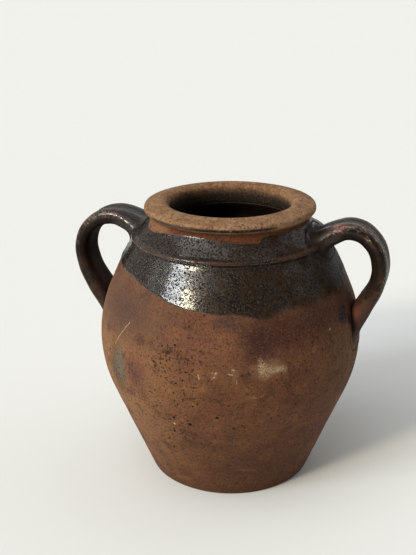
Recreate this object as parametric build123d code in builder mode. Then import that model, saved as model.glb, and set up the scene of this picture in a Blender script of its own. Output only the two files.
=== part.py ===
"""Two-handled stoneware storage pot, half dipped in dark glaze.

One thrown wall with a rolled rim, two pulled strap handles luted on with slip, and the glaze
coats on the shoulder and inside. Millimetres and degrees. The origin is the centre of the foot,
+Z is up and the handles stand on the X axis.
"""
import os
from math import cos, radians, sin, tan

from build123d import *

os.makedirs("parts", exist_ok=True)

# Thrown wall, from the foot up
FOOT_RADIUS = 70.0
FOOT_BEVEL = 2.0
FLANK_LEAN = 21.9
BELLY_ROUND = 106.0
SHOULDER_LEAN = 25.5
CORDON_RADIUS = 79.0
CORDON_HEIGHT = 209.0
CORDON_BAND = 2.2
CORDON_LEDGE = 1.0
WALL = 8.5
FLOOR = 10.0
FLOOR_COVE = 8.0

# Neck, rim and throat
MOUTH_RADIUS = 50.4
NECK_WALL = 14.0
NECK_HEIGHT = 15.5
RIM_OVERHANG = 6.2
RIM_UNDERCUT = 5.5
RIM_EDGE = 4.2
RIM_EDGE_ROUND = 2.0
RIM_DOME = 2.6
RIM_DOME_ROUND = 18.0
RIM_CREST_INSET = 8.6
MOUTH_FALL = 1.5
MOUTH_ROUND = 4.0
THROAT_LENGTH = 15.0
INNER_NECK_DROP = 6.0

# Pulled strap handles
HANDLE_REACH = 17.5
HANDLE_RISE = 8.0
RIGHT_HANDLE_LIFT = 3.0
CROWN_SHARE = 0.522
HAUNCH_ROUND = 45.0
TAIL_LEAN = 30.0
TAIL_DEPTH = 9.0
ROOT_LEAN = 54.0
ROOT_SHARE = 0.487
ROOT_DEPTH = 9.0
STRAIGHT_RUN = 1.0
STRAP_WIDTH = 28.5
STRAP_THICKNESS = 11.8
ROOT_WIDTH = 46.0
ROOT_THICKNESS = 25.0
TAIL_WIDTH = 36.0
TAIL_THICKNESS = 15.5
ROOT_FLARE = 0.36
TAIL_FLARE = 0.30
STRAP_RIDGE = 0.27
OUTER_GROOVE = 1.1
INNER_GROOVE = 0.4
STRAP_SECTIONS = 7

# Luting slip and glaze coats
SLIP = 0.8
GLAZE = 0.6
DIP_DROP = 30.5
DIP_LEAN = 6.6
GLAZE_TOP_GAP = 3.0

flank_slope = tan(radians(FLANK_LEAN))
shoulder_slope = tan(radians(SHOULDER_LEAN))


def flank_radius(height: float, inset: float = 0.0) -> float:
    """Radius of the straight lower wall at a height, set in from the outer face."""
    return FOOT_RADIUS + height * flank_slope - inset / cos(radians(FLANK_LEAN))


def shoulder_radius(height: float, inset: float = 0.0) -> float:
    """Radius of the straight upper wall at a height, set in from the outer face."""
    drop = CORDON_HEIGHT - height
    return CORDON_RADIUS + drop * shoulder_slope - inset / cos(radians(SHOULDER_LEAN))


def belly_corner(inset: float = 0.0) -> tuple[float, float]:
    """Point where flank and shoulder would meet if the belly were not rounded."""
    gap = shoulder_radius(0.0, inset) - flank_radius(0.0, inset)
    height = gap / (flank_slope + shoulder_slope)
    return flank_radius(height, inset), height


cordon_foot = CORDON_HEIGHT - CORDON_BAND
neck_radius = MOUTH_RADIUS + NECK_WALL
rim_radius = neck_radius + RIM_OVERHANG
neck_top = CORDON_HEIGHT + NECK_HEIGHT
rim_edge_bottom = neck_top + RIM_UNDERCUT
rim_edge_top = rim_edge_bottom + RIM_EDGE
rim_top = rim_edge_top + RIM_DOME
mouth_height = rim_top - MOUTH_FALL
throat_bottom = mouth_height - THROAT_LENGTH
cut_height = rim_top + RIM_EDGE
cut_reach = belly_corner()[0] + rim_radius

# The belly's round lies on the line halfway between flank and shoulder
half_turn = radians(FLANK_LEAN + SHOULDER_LEAN) / 2
bisector = radians(SHOULDER_LEAN - FLANK_LEAN) / 2
belly_radius = belly_corner()[0] - BELLY_ROUND * (cos(bisector) / cos(half_turn) - 1)

# Each handle's path: up from the root, over the crest, down past the haunch, into the belly.
# The rounds of root and crown share the arch's own span, so they fit at any reach
handle_out = belly_radius + HANDLE_REACH
handle_crest = CORDON_HEIGHT + HANDLE_RISE
root_end = CORDON_RADIUS - ROOT_DEPTH
arch_span = handle_out - root_end
crown_round = CROWN_SHARE * arch_span
root_round = ROOT_SHARE * arch_span
root_corner = handle_out - crown_round - STRAIGHT_RUN - root_round * tan(radians(ROOT_LEAN) / 2)
root_fall = (root_corner - root_end) * tan(radians(ROOT_LEAN))
haunch_turn = HAUNCH_ROUND * tan(radians(TAIL_LEAN) / 2)
haunch_height = handle_crest - crown_round - STRAIGHT_RUN - haunch_turn
tail_end = belly_radius - TAIL_DEPTH
tail_fall = (handle_out - tail_end) / tan(radians(TAIL_LEAN))


def filled_section(grow: float = 0.0, corners: Kind = Kind.ARC) -> Sketch:
    """Half section of the pot with its inside filled, grown outwards with round or sharp corners."""
    with BuildSketch(Plane.XZ) as section:
        with BuildLine():
            edge = FilletPolyline(
                (0, 0),
                (FOOT_RADIUS - FOOT_BEVEL, 0),
                (flank_radius(FOOT_BEVEL), FOOT_BEVEL),
                belly_corner(),
                (shoulder_radius(cordon_foot), cordon_foot),
                (shoulder_radius(cordon_foot), CORDON_HEIGHT),
                (CORDON_RADIUS - CORDON_LEDGE, CORDON_HEIGHT + CORDON_LEDGE),
                (neck_radius, neck_top),
                (rim_radius, rim_edge_bottom),
                (rim_radius, rim_edge_top),
                (rim_radius - RIM_CREST_INSET, rim_top),
                (MOUTH_RADIUS, mouth_height),
                (0, mouth_height),
                radius=(
                    0,
                    0,
                    BELLY_ROUND,
                    0,
                    0,
                    0,
                    0,
                    RIM_EDGE_ROUND,
                    RIM_EDGE_ROUND,
                    RIM_DOME_ROUND,
                    0,
                ),
            )
            Line(edge @ 1, edge @ 0)
        make_face()
        if grow:
            offset(amount=grow, kind=corners)
        Rectangle(cut_reach, cut_height, align=Align.MIN, mode=Mode.INTERSECT)
    return section.sketch


def cavity_section(lining: float = 0.0) -> Sketch:
    """Half section of the inside, open through the mouth and narrowed by a lining."""
    inset = WALL + lining
    floor = FLOOR + lining
    throat = MOUTH_RADIUS - lining
    neck_start = CORDON_HEIGHT - INNER_NECK_DROP
    with BuildSketch(Plane.XZ) as section:
        with BuildLine():
            edge = FilletPolyline(
                (0, floor),
                (flank_radius(floor, inset) - FLOOR_COVE, floor),
                (flank_radius(floor + FLOOR_COVE, inset), floor + FLOOR_COVE),
                belly_corner(inset),
                (shoulder_radius(neck_start, inset), neck_start),
                (throat, throat_bottom),
                (throat, cut_height),
                (0, cut_height),
                radius=(0, 0, BELLY_ROUND - inset, 0, 0, 0),
            )
            Line(edge @ 1, edge @ 0)
        make_face()
    return section.sketch


def filled_pot(grow: float = 0.0) -> Part:
    """The pot as a filled solid, for cutting what lies on its outer face."""
    with BuildPart() as filled:
        add(filled_section(grow))
        revolve(axis=Axis.Z)
    return filled.part


def fade(distance: float, reach: float) -> float:
    """Share of a flare that is left at a distance from the strap's end."""
    return max(0.0, 1.0 - distance / reach) ** 2


def flared(middle: float, root: float, tail: float, place: float) -> float:
    """Size of the strap at a place along it, 0 at the root and 1 at the tail."""
    at_root = (root - middle) * fade(place, ROOT_FLARE)
    at_tail = (tail - middle) * fade(1.0 - place, TAIL_FLARE)
    return middle + at_root + at_tail


def strap(side: int) -> Part:
    """One handle's strap, run into the wall at both ends: 1 for the +X side, -1 for -X."""
    lift = RIGHT_HANDLE_LIFT if side > 0 else 0.0
    handle_plane = Plane((0, 0, lift), x_dir=(side, 0, 0), z_dir=(0, -side, 0))
    with BuildPart() as blank:
        with BuildLine(handle_plane) as path:
            FilletPolyline(
                (root_end, handle_crest - root_fall),
                (root_corner, handle_crest),
                (handle_out, handle_crest),
                (handle_out, haunch_height),
                (tail_end, haunch_height - tail_fall),
                radius=(root_round, crown_round, HAUNCH_ROUND),
            )
        spine = path.wire()
        for number in range(STRAP_SECTIONS):
            place = number / (STRAP_SECTIONS - 1)
            half = flared(STRAP_WIDTH, ROOT_WIDTH, TAIL_WIDTH, place) / 2
            rise = flared(STRAP_THICKNESS, ROOT_THICKNESS, TAIL_THICKNESS, place) / 2
            ridge = 2 * half * STRAP_RIDGE
            with BuildSketch(Plane(spine @ place, x_dir=(0, side, 0), z_dir=spine % place)):
                with BuildLine():
                    Spline(
                        (0, rise - OUTER_GROOVE),
                        (ridge, rise),
                        (half, 0),
                        (ridge, -rise),
                        (0, INNER_GROOVE - rise),
                        (-ridge, -rise),
                        (-half, 0),
                        (-ridge, rise),
                        periodic=True,
                    )
                make_face()
        loft()
    return blank.part


def out_from_axis(piece: Solid) -> float:
    """How far the middle of a piece lies from the pot's axis."""
    middle = piece.center()
    return Vector(middle.X, middle.Y).length


def cut_at(blank: Part | Solid, wall: Part) -> list[Solid]:
    """What a wall's face cuts a strap into, from the pot's axis outwards."""
    return sorted(blank.split(wall.shell(), keep=Keep.ALL).solids(), key=out_from_axis)


def dip_plane() -> Plane:
    """Surface of the glaze bath as it stood on the upturned, slightly tilted pot."""
    height = CORDON_HEIGHT - DIP_DROP
    lean = radians(DIP_LEAN)
    return Plane((0, 0, height), x_dir=(cos(lean), 0, -sin(lean)), z_dir=(sin(lean), 0, cos(lean)))


# Thrown body: foot, belly, shoulder, cordon, neck and rolled rim in one wall
with BuildPart() as pot_body:
    with BuildSketch(Plane.XZ) as wall_section:
        add(filled_section())
        add(cavity_section(), mode=Mode.SUBTRACT)
        mouth_edge = wall_section.vertices().sort_by_distance((MOUTH_RADIUS, mouth_height))[0]
        fillet(mouth_edge, MOUTH_ROUND)
    revolve(axis=Axis.Z)
pot_body.part.label = "pot_body"
export_step(pot_body.part, "parts/pot_body.step")

# Handles: each strap is cut at the slip's face, which leaves the arch and the two ends inside
core = filled_pot()
slip_face = filled_pot(SLIP)
straps = {"left": strap(-1), "right": strap(1)}
roots = []
tails = []
for name, blank in straps.items():
    *ends, arch = cut_at(blank, slip_face)
    tail, root = sorted(ends, key=lambda piece: piece.center().Z)
    roots.append(root)
    tails.append(tail)
    with BuildPart() as handle:
        add(arch)
    handle.part.label = f"{name}_handle"
    export_step(handle.part, f"parts/{name}_handle.step")

# Slip joints: the film of clay slurry between each handle's end and the wall
for name, ends in (("upper_slip_joints", roots), ("lower_slip_joints", tails)):
    with BuildPart() as slip_joints:
        for end in ends:
            add(cut_at(end, core)[-1])
    slip_joints.part.label = name
    export_step(slip_joints.part, f"parts/{name}.step")

# Shoulder glaze: a coat on neck and shoulder that ends at the tilted dip line
with BuildPart() as shoulder_glaze:
    with BuildSketch(Plane.XZ):
        add(filled_section(GLAZE, Kind.INTERSECTION))
        add(filled_section(), mode=Mode.SUBTRACT)
        Rectangle(cut_reach, neck_top - GLAZE_TOP_GAP, align=Align.MIN, mode=Mode.INTERSECT)
    revolve(axis=Axis.Z)
    split(bisect_by=dip_plane(), keep=Keep.TOP)
    for blank in straps.values():
        add(blank, mode=Mode.SUBTRACT)
shoulder_glaze.part.label = "shoulder_glaze"
export_step(shoulder_glaze.part, "parts/shoulder_glaze.step")

# Inner glaze: a lining that makes the inside hold liquid, up to the throat
with BuildPart() as inner_glaze:
    with BuildSketch(Plane.XZ):
        add(cavity_section())
        add(cavity_section(GLAZE), mode=Mode.SUBTRACT)
        Rectangle(cut_reach, throat_bottom, align=Align.MIN, mode=Mode.INTERSECT)
    revolve(axis=Axis.Z)
inner_glaze.part.label = "inner_glaze"
export_step(inner_glaze.part, "parts/inner_glaze.step")
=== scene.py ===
"""Looks of a two-handled stoneware pot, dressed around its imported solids.

Each sub-assembly is a class that holds its sizes in millimetres. The scene itself is in metres, in
the frame of the solids: origin at the centre of the foot, +Z up, handles on X, the viewer at -Y.
Angles round the pot are azimuths in degrees from +X, so -90 faces the viewer.
"""
import logging
from collections.abc import Sequence
from dataclasses import dataclass
from enum import Enum
from functools import reduce
from math import ceil, cos, pi, radians, sin, tan

import bpy
import numpy as np
from mathutils import Matrix, Vector


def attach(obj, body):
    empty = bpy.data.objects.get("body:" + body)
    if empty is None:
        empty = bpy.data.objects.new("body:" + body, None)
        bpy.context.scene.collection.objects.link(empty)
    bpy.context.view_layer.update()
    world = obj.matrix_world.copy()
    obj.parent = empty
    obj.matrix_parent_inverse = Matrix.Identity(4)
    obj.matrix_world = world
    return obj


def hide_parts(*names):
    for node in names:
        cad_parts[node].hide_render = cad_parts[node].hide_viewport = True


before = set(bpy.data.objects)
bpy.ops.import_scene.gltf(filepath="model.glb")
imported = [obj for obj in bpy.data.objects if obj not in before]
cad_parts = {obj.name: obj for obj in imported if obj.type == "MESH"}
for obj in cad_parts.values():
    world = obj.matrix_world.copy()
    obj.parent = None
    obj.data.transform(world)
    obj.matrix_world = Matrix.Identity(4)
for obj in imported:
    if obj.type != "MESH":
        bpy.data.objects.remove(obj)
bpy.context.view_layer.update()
log = logging.getLogger("pot")

MM = 0.001
WELD = 2e-6
SLOPE_STEP = 2.0
SEED = 11

Socket = bpy.types.NodeSocket
Piece = bpy.types.Object
Material = bpy.types.Material
Colour = tuple[float, float, float, float]
Triple = tuple[float, float, float]
Span = tuple[float, float]
Value = Socket | Material | Piece | float | Sequence[float]
Table = tuple[tuple[float, float], ...]


def srgb(red: int, green: int, blue: int) -> Colour:
    """Make a screen colour linear.

    Args:
        red: level from 0 to 255.
        green: level from 0 to 255.
        blue: level from 0 to 255.

    Returns:
        The linear colour with full alpha.
    """
    levels = np.array((red, green, blue)) / 255
    linear = np.where(levels <= 0.04045, levels / 12.92, ((levels + 0.055) / 1.055) ** 2.4)
    return (float(linear[0]), float(linear[1]), float(linear[2]), 1.0)


def around(azimuth: np.ndarray, table: Table) -> np.ndarray:
    """Read a table of azimuth and value all round the pot.

    Args:
        azimuth: angles in degrees from -180 to 180.
        table: pairs of azimuth and value, in rising order.

    Returns:
        The value at each angle, read on straight lines that also join the last pair to the first.
    """
    angles, values = zip(*table)
    return np.interp(azimuth, angles, values, period=360)


def smooth_read(share: np.ndarray, table: Table) -> np.ndarray:
    """Read a table along a strap with its corners eased.

    Args:
        share: shares of the length, evenly spaced from 0 to 1.
        table: pairs of share and value, in rising order.

    Returns:
        The value at each share, averaged over its neighbours.
    """
    reach = len(share) // 20
    padded = np.pad(np.interp(share, *zip(*table)), reach, mode="reflect", reflect_type="odd")
    weights = np.hanning(2 * reach + 3)[1:-1]
    return np.convolve(padded, weights / weights.sum(), mode="valid")


def ripple(azimuth: np.ndarray, waves: Table, seed: int) -> np.ndarray:
    """Add up waves that close on themselves round the pot.

    Args:
        azimuth: angles in degrees.
        waves: pairs of a whole number of waves per turn and their height.
        seed: start of the fixed phases.

    Returns:
        The sum of the waves at each angle.
    """
    phases = np.random.default_rng(seed).uniform(0, 2 * pi, len(waves))
    turn = np.radians(azimuth)
    return sum(height * np.sin(count * turn + phase) for (count, height), phase in zip(waves, phases))


def ease(value: np.ndarray, low: float | np.ndarray, high: float | np.ndarray) -> np.ndarray:
    """Go smoothly from 0 at the low value to 1 at the high one.

    Args:
        value: values to grade.
        low: where the step starts.
        high: where the step ends.

    Returns:
        Grades from 0 to 1.
    """
    share = np.clip((value - low) / (high - low), 0, 1)
    return share * share * (3 - 2 * share)


@dataclass(frozen=True)
class Corner:
    """A corner of a section: radius and height in mm, its rounding, and the spacing of points up to it."""

    out: float
    up: float
    round: float = 0.0
    step: float = 2.2

    def place(self) -> np.ndarray:
        """Give the corner as an array."""
        return np.array((self.out, self.up))


def rounded_line(corners: Sequence[Corner]) -> np.ndarray:
    """Sample a line whose corners are rounded.

    Args:
        corners: the corners in order; the first and last are ends.

    Returns:
        Rows of radius and height in mm.
    """
    points = [corners[0].place()]

    def run_to(target: np.ndarray, step: float) -> None:
        """Add evenly spaced points up to the target."""
        start = points[-1]
        length = float(np.linalg.norm(target - start))
        count = max(1, ceil(length / step))
        points.extend(start + (target - start) * share / count for share in range(1, count + 1))

    for before, corner, after in zip(corners, corners[1:], corners[2:]):
        here = corner.place()
        back = before.place() - here
        back /= np.linalg.norm(back)
        onward = after.place() - here
        onward /= np.linalg.norm(onward)
        half = np.arccos(np.clip(back @ onward, -1, 1)) / 2
        reach = corner.round / tan(half)
        run_to(here + back * reach, corner.step)
        if not corner.round:
            continue
        bisector = (back + onward) / np.linalg.norm(back + onward)
        centre = here + bisector * corner.round / sin(half)
        first = here + back * reach - centre
        last = here + onward * reach - centre
        turn = pi - 2 * half
        count = max(4, ceil(corner.round * turn / corner.step))
        for share in range(1, count + 1):
            angle = turn * share / count
            points.append(centre + (first * sin(turn - angle) + last * sin(angle)) / sin(turn))
    run_to(corners[-1].place(), corners[-1].step)
    return np.array(points)


class Wiring:
    """Short calls that add nodes to one tree and link them."""

    def __init__(self, tree: bpy.types.NodeTree) -> None:
        """Keep the tree that the nodes go into."""
        self.tree = tree

    def feed(self, socket: Socket, value: Value) -> None:
        """Link a socket to another one, or set its plain value.

        Args:
            socket: the input to fill.
            value: an output socket or a constant.
        """
        if isinstance(value, Socket):
            self.tree.links.new(value, socket)
        else:
            socket.default_value = value

    def node(self, kind: str, inputs: dict[str | int, Value] | None = None,
             **settings: object) -> bpy.types.Node:
        """Add a node.

        Args:
            kind: the node's type name.
            inputs: values or sockets by input name or number.
            **settings: properties of the node.

        Returns:
            The new node.
        """
        node = self.tree.nodes.new(kind)
        for name, setting in settings.items():
            setattr(node, name, setting)
        for key, value in (inputs or {}).items():
            self.feed(node.inputs[key], value)
        return node

    def math(self, operation: str, first: Value, second: Value = 0.0, third: Value = 0.0) -> Socket:
        """Add a Math node.

        Args:
            operation: the node's operation.
            first: first number.
            second: second number, where the operation has one.
            third: third number, where the operation has one.

        Returns:
            Its result.
        """
        return self.node("ShaderNodeMath", {0: first, 1: second, 2: third}, operation=operation).outputs[0]

    def times(self, *values: Value) -> Socket:
        """Multiply numbers."""
        return reduce(lambda first, second: self.math("MULTIPLY", first, second), values)

    def plus(self, *values: Value) -> Socket:
        """Add numbers up."""
        return reduce(lambda first, second: self.math("ADD", first, second), values)

    def most(self, *values: Value) -> Socket:
        """Give the greatest of some numbers."""
        return reduce(lambda first, second: self.math("MAXIMUM", first, second), values)

    def weighted(self, *terms: tuple[Value, Value]) -> Socket:
        """Add numbers up, each times its weight.

        Args:
            *terms: pairs of a number and its weight.

        Returns:
            The sum.
        """
        total = self.times(*terms[0])
        for number, weight in terms[1:]:
            total = self.math("MULTIPLY_ADD", number, weight, total)
        return total

    def vector(self, operation: str, first: Value, second: Value = (0, 0, 0)) -> Socket:
        """Add a Vector Math node.

        Args:
            operation: the node's operation.
            first: first vector.
            second: second vector, or the factor of SCALE.

        Returns:
            Its vector, or its number for a length or a dot product.
        """
        slot = 3 if operation == "SCALE" else 1
        node = self.node("ShaderNodeVectorMath", {0: first, slot: second}, operation=operation)
        return node.outputs["Value" if operation in {"LENGTH", "DOT_PRODUCT"} else "Vector"]

    def combine(self, across: Value, deep: Value, up: Value) -> Socket:
        """Join three numbers into a vector."""
        return self.node("ShaderNodeCombineXYZ", {0: across, 1: deep, 2: up}).outputs[0]

    def separate(self, vector: Value) -> bpy.types.NodeOutputs:
        """Split a vector into its three numbers."""
        return self.node("ShaderNodeSeparateXYZ", {0: vector}).outputs

    def place(self) -> Socket:
        """Give the place on the piece, in metres."""
        return self.node("ShaderNodeTexCoord").outputs["Object"]

    def number(self, name: str) -> Socket:
        """Read a number that the mesh keeps at its points."""
        return self.node("ShaderNodeAttribute", attribute_name=name).outputs["Fac"]

    def noise(self, place: Value, size: float, detail: float = 2.0, rough: float = 0.5) -> Socket:
        """Add soft noise from about 0.2 to 0.8.

        Args:
            place: where to read it.
            size: size of a feature, in the units of the place.
            detail: how many finer layers it has.
            rough: how strong those are.

        Returns:
            The noise value.
        """
        inputs = {"Vector": place, "Scale": 1 / size, "Detail": detail, "Roughness": rough}
        return self.node("ShaderNodeTexNoise", inputs).outputs[0]

    def ease(self, value: Value, low: Value, high: Value, first: Value = 0.0, last: Value = 1.0) -> Socket:
        """Grade a value smoothly.

        Args:
            value: value to grade.
            low: where the step starts.
            high: where the step ends.
            first: result up to the start.
            last: result from the end.

        Returns:
            The graded value.
        """
        inputs = {"Value": value, "From Min": low, "From Max": high, "To Min": first, "To Max": last}
        return self.node("ShaderNodeMapRange", inputs, interpolation_type="SMOOTHSTEP").outputs[0]

    def band(self, value: Value, rise: Span, fall: Span) -> Socket:
        """Grade a value smoothly from 0 up to 1 and down to 0 again.

        Args:
            value: value to grade.
            rise: where the way up starts and ends.
            fall: where the way down starts and ends.

        Returns:
            The graded value.
        """
        return self.times(self.ease(value, *rise), self.ease(value, *fall, 1.0, 0.0))

    def mix(self, amount: Value, first: Value, second: Value) -> Socket:
        """Mix two colours, 0 giving the first and 1 the second."""
        return self.node("ShaderNodeMix", {0: amount, 6: first, 7: second}, data_type="RGBA").outputs[2]

    def paint(self, colour: Value, *coats: tuple[Value, Value]) -> Socket:
        """Lay coats over a colour, one after another.

        Args:
            colour: the colour under all of them.
            *coats: pairs of how much a coat covers and its colour.

        Returns:
            The colour that is seen.
        """
        for amount, tone in coats:
            colour = self.mix(amount, colour, tone)
        return colour

    def blend(self, amount: Value, first: Value, second: Value) -> Socket:
        """Mix two numbers, 0 giving the first and 1 the second."""
        return self.node("ShaderNodeMix", {0: amount, 2: first, 3: second}, data_type="FLOAT").outputs[0]


class NodeTool:
    """A Geometry Nodes tree with named inputs that shapes one mesh at a time."""

    def __init__(self, name: str, inputs: dict[str, str]) -> None:
        """Start a tree.

        Args:
            name: the tree's name.
            inputs: socket type of each named input.
        """
        self.tree = bpy.data.node_groups.new(name, "GeometryNodeTree")
        face = self.tree.interface
        face.new_socket("Geometry", in_out="INPUT", socket_type="NodeSocketGeometry")
        face.new_socket("Geometry", in_out="OUTPUT", socket_type="NodeSocketGeometry")
        named = {**inputs, "Finish": "NodeSocketMaterial"}
        self.keys = {label: face.new_socket(label, in_out="INPUT", socket_type=kind).identifier
                     for label, kind in named.items()}
        self.wiring = Wiring(self.tree)
        self.source = self.wiring.node("NodeGroupInput")

    def given(self, label: str) -> Socket:
        """Give a named input of the tree."""
        return self.source.outputs[label]

    def end(self, geometry: Socket) -> None:
        """Make instances real, smooth and dressed, and end the tree there.

        Args:
            geometry: the shaped geometry.
        """
        real = self.wiring.node("GeometryNodeRealizeInstances", {"Geometry": geometry})
        smooth = self.wiring.node("GeometryNodeSetShadeSmooth", {"Geometry": real.outputs[0]})
        dressing = {"Geometry": smooth.outputs[0], "Material": self.given("Finish")}
        dressed = self.wiring.node("GeometryNodeSetMaterial", dressing)
        self.wiring.node("NodeGroupOutput", {0: dressed.outputs[0]})

    def run(self, piece: Piece, settings: dict[str, Value]) -> Piece:
        """Shape a piece and leave it a plain mesh.

        Args:
            piece: object that holds the source mesh.
            settings: value of each named input.

        Returns:
            The same object with the shaped mesh.
        """
        modifier = piece.modifiers.new(self.tree.name, "NODES")
        modifier.node_group = self.tree
        for label, value in settings.items():
            modifier[self.keys[label]] = value
        graph = bpy.context.evaluated_depsgraph_get()
        shaped = piece.evaluated_get(graph)
        mesh = bpy.data.meshes.new_from_object(shaped, preserve_all_data_layers=True, depsgraph=graph)
        piece.modifiers.remove(modifier)
        piece.data = mesh
        mesh.name = piece.name
        return piece


def wheel_tool() -> NodeTool:
    """Write the tree that turns an unrolled sheet round the pot's axis.

    The sheet holds angle, radius and height as its x, y and z. A slow wobble and the soft rings
    that the thrower's fingers leave change the radius, except near the axis.

    Returns:
        The tool, with inputs for the wobble, the rings and the finish.
    """
    numbers = ("Wobble", "Ring depth", "Ring pitch")
    tool = NodeTool("turn_on_wheel", dict.fromkeys(numbers, "NodeSocketFloat"))
    wiring = tool.wiring
    angle, radius, height = wiring.separate(wiring.node("GeometryNodeInputPosition").outputs[0])
    east = wiring.math("COSINE", angle)
    north = wiring.math("SINE", angle)
    slow_place = wiring.combine(east, north, wiring.times(height, 14.0))
    slow = wiring.math("SUBTRACT", wiring.noise(slow_place, 0.9, 1.0), 0.5)
    turns = wiring.math("DIVIDE", height, tool.given("Ring pitch"))
    ring_place = wiring.combine(wiring.times(east, 0.5), wiring.times(north, 0.5), turns)
    ring = wiring.math("SUBTRACT", wiring.noise(ring_place, 1.0, 1.0), 0.5)
    shift = wiring.weighted((slow, tool.given("Wobble")), (ring, tool.given("Ring depth")))
    off_axis = wiring.ease(radius, 0.0, 0.04)
    radius = wiring.math("MULTIPLY_ADD", shift, off_axis, radius)
    spot = wiring.combine(wiring.times(radius, east), wiring.times(radius, north), height)
    turned = wiring.node("GeometryNodeSetPosition", {"Geometry": tool.given("Geometry"), "Position": spot})
    closed = wiring.node("GeometryNodeMergeByDistance", {"Geometry": turned.outputs[0], "Distance": WELD})
    tool.end(closed.outputs[0])
    return tool


def bend_tool() -> NodeTool:
    """Write the tree that bends a straight strap along a path.

    The strap holds its share of the path, its offset across and its offset up as x, y and z.

    Returns:
        The tool, with inputs for the path object, the hand of the strap and the finish.
    """
    tool = NodeTool("bend_along_path", {"Path": "NodeSocketObject", "Hand": "NodeSocketFloat"})
    wiring = tool.wiring
    share, across, up = wiring.separate(wiring.node("GeometryNodeInputPosition").outputs[0])
    path = wiring.node("GeometryNodeObjectInfo", {"Object": tool.given("Path")}, transform_space="ORIGINAL")
    sample = wiring.node("GeometryNodeSampleCurve", {"Curves": path.outputs["Geometry"], "Factor": share},
                         mode="FACTOR")
    side = wiring.combine(0.0, tool.given("Hand"), 0.0)
    outward = wiring.vector("CROSS_PRODUCT", sample.outputs["Tangent"], side)
    spot = wiring.vector("ADD", sample.outputs["Position"], wiring.vector("SCALE", side, across))
    spot = wiring.vector("ADD", spot, wiring.vector("SCALE", outward, up))
    bent = wiring.node("GeometryNodeSetPosition", {"Geometry": tool.given("Geometry"), "Position": spot})
    tool.end(bent.outputs[0])
    return tool


def speck_tool() -> NodeTool:
    """Write the tree that sets low specks on the clay.

    The source mesh holds the specks seen one by one as loose points; more are scattered on the wall
    between two heights, where a slow noise lets them gather.

    Returns:
        The tool, with inputs for the wall, the band, the density, the sizes, the seed and the finish.
    """
    numbers = dict.fromkeys(("Low", "High", "Density", "Least", "Greatest"), "NodeSocketFloat")
    tool = NodeTool("set_specks", {"Wall": "NodeSocketObject", **numbers, "Seed": "NodeSocketInt"})
    wiring = tool.wiring
    place = wiring.node("GeometryNodeInputPosition").outputs[0]
    normal = wiring.node("GeometryNodeInputNormal").outputs[0]
    height = wiring.separate(place)[2]
    outward = wiring.vector("NORMALIZE", wiring.vector("MULTIPLY", place, (1, 1, 0)))
    outside = wiring.math("GREATER_THAN", wiring.vector("DOT_PRODUCT", normal, outward), 0.3)
    above = wiring.math("GREATER_THAN", height, tool.given("Low"))
    below = wiring.math("LESS_THAN", height, tool.given("High"))
    gather = wiring.ease(wiring.noise(place, 0.03, 1.0), 0.42, 0.68)
    density = wiring.times(above, below, outside, gather, tool.given("Density"))
    wall = wiring.node("GeometryNodeObjectInfo", {"Object": tool.given("Wall")}, transform_space="ORIGINAL")
    scatter = {"Mesh": wall.outputs["Geometry"], "Density": density, "Seed": tool.given("Seed")}
    loose = wiring.node("GeometryNodeDistributePointsOnFaces", scatter)
    seen = wiring.node("GeometryNodeMeshToPoints", {"Mesh": tool.given("Geometry")})
    speck = wiring.node("GeometryNodeMeshIcoSphere", {"Radius": 1.0, "Subdivisions": 1})
    flat = wiring.node("GeometryNodeTransform", {"Geometry": speck.outputs[0], "Scale": (1.0, 1.0, 0.35)})
    turn = wiring.node("FunctionNodeAlignRotationToVector", {"Vector": outward}, axis="Z")
    sizes = {2: tool.given("Least"), 3: tool.given("Greatest"), 8: SEED}
    chance = wiring.node("FunctionNodeRandomValue", sizes, data_type="FLOAT")
    size = wiring.node("GeometryNodeInputNamedAttribute", {"Name": "size"}, data_type="FLOAT")
    joined = wiring.node("GeometryNodeJoinGeometry")
    for points, scale in ((loose, chance.outputs[1]), (seen, size.outputs[0])):
        specks = {"Points": points.outputs[0], "Instance": flat.outputs[0], "Rotation": turn.outputs[0],
                  "Scale": scale}
        wiring.feed(joined.inputs[0], wiring.node("GeometryNodeInstanceOnPoints", specks).outputs[0])
    tool.end(joined.outputs[0])
    return tool


def mesh_object(name: str, points: np.ndarray, faces: Sequence[Sequence[int]],
                finish: Material | None = None) -> Piece:
    """Make an object from points and faces.

    Args:
        name: name of the object and its mesh.
        points: rows of x, y and z in metres.
        faces: point numbers of each face.
        finish: the material of a smooth piece that no tool dresses later.

    Returns:
        The object, linked to the scene.
    """
    mesh = bpy.data.meshes.new(name)
    mesh.from_pydata(points.tolist(), [], faces)
    if finish:
        mesh.materials.append(finish)
        mesh.polygons.foreach_set("use_smooth", np.ones(len(faces), dtype=bool))
    piece = bpy.data.objects.new(name, mesh)
    bpy.context.scene.collection.objects.link(piece)
    return piece


def sheet_faces(columns: int, rows: int, closed: bool, looped: bool = False) -> list[list[int]]:
    """Number the faces of a sheet whose points run row by row within each column.

    Args:
        columns: columns of points.
        rows: points in each column.
        closed: whether the last row joins the first.
        looped: whether the last column joins the first.

    Returns:
        Four point numbers for each face.
    """
    columns_used = np.arange(columns if looped else columns - 1)
    rows_used = np.arange(rows if closed else rows - 1)
    column, row = np.meshgrid(columns_used, rows_used, indexing="ij")
    here = column * rows
    beside = (column + 1) % columns * rows
    above = (row + 1) % rows
    corners = (here + row, beside + row, beside + above, here + above)
    return np.stack([corner.ravel() for corner in corners], axis=1).tolist()


def keep_numbers(piece: Piece, name: str, numbers: np.ndarray) -> None:
    """Store one number for each point of a mesh.

    Args:
        piece: the object.
        name: name of the attribute.
        numbers: one number for each point.
    """
    layer = piece.data.attributes.new(name, "FLOAT", "POINT")
    layer.data.foreach_set("value", numbers.astype(np.float32).ravel())


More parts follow.
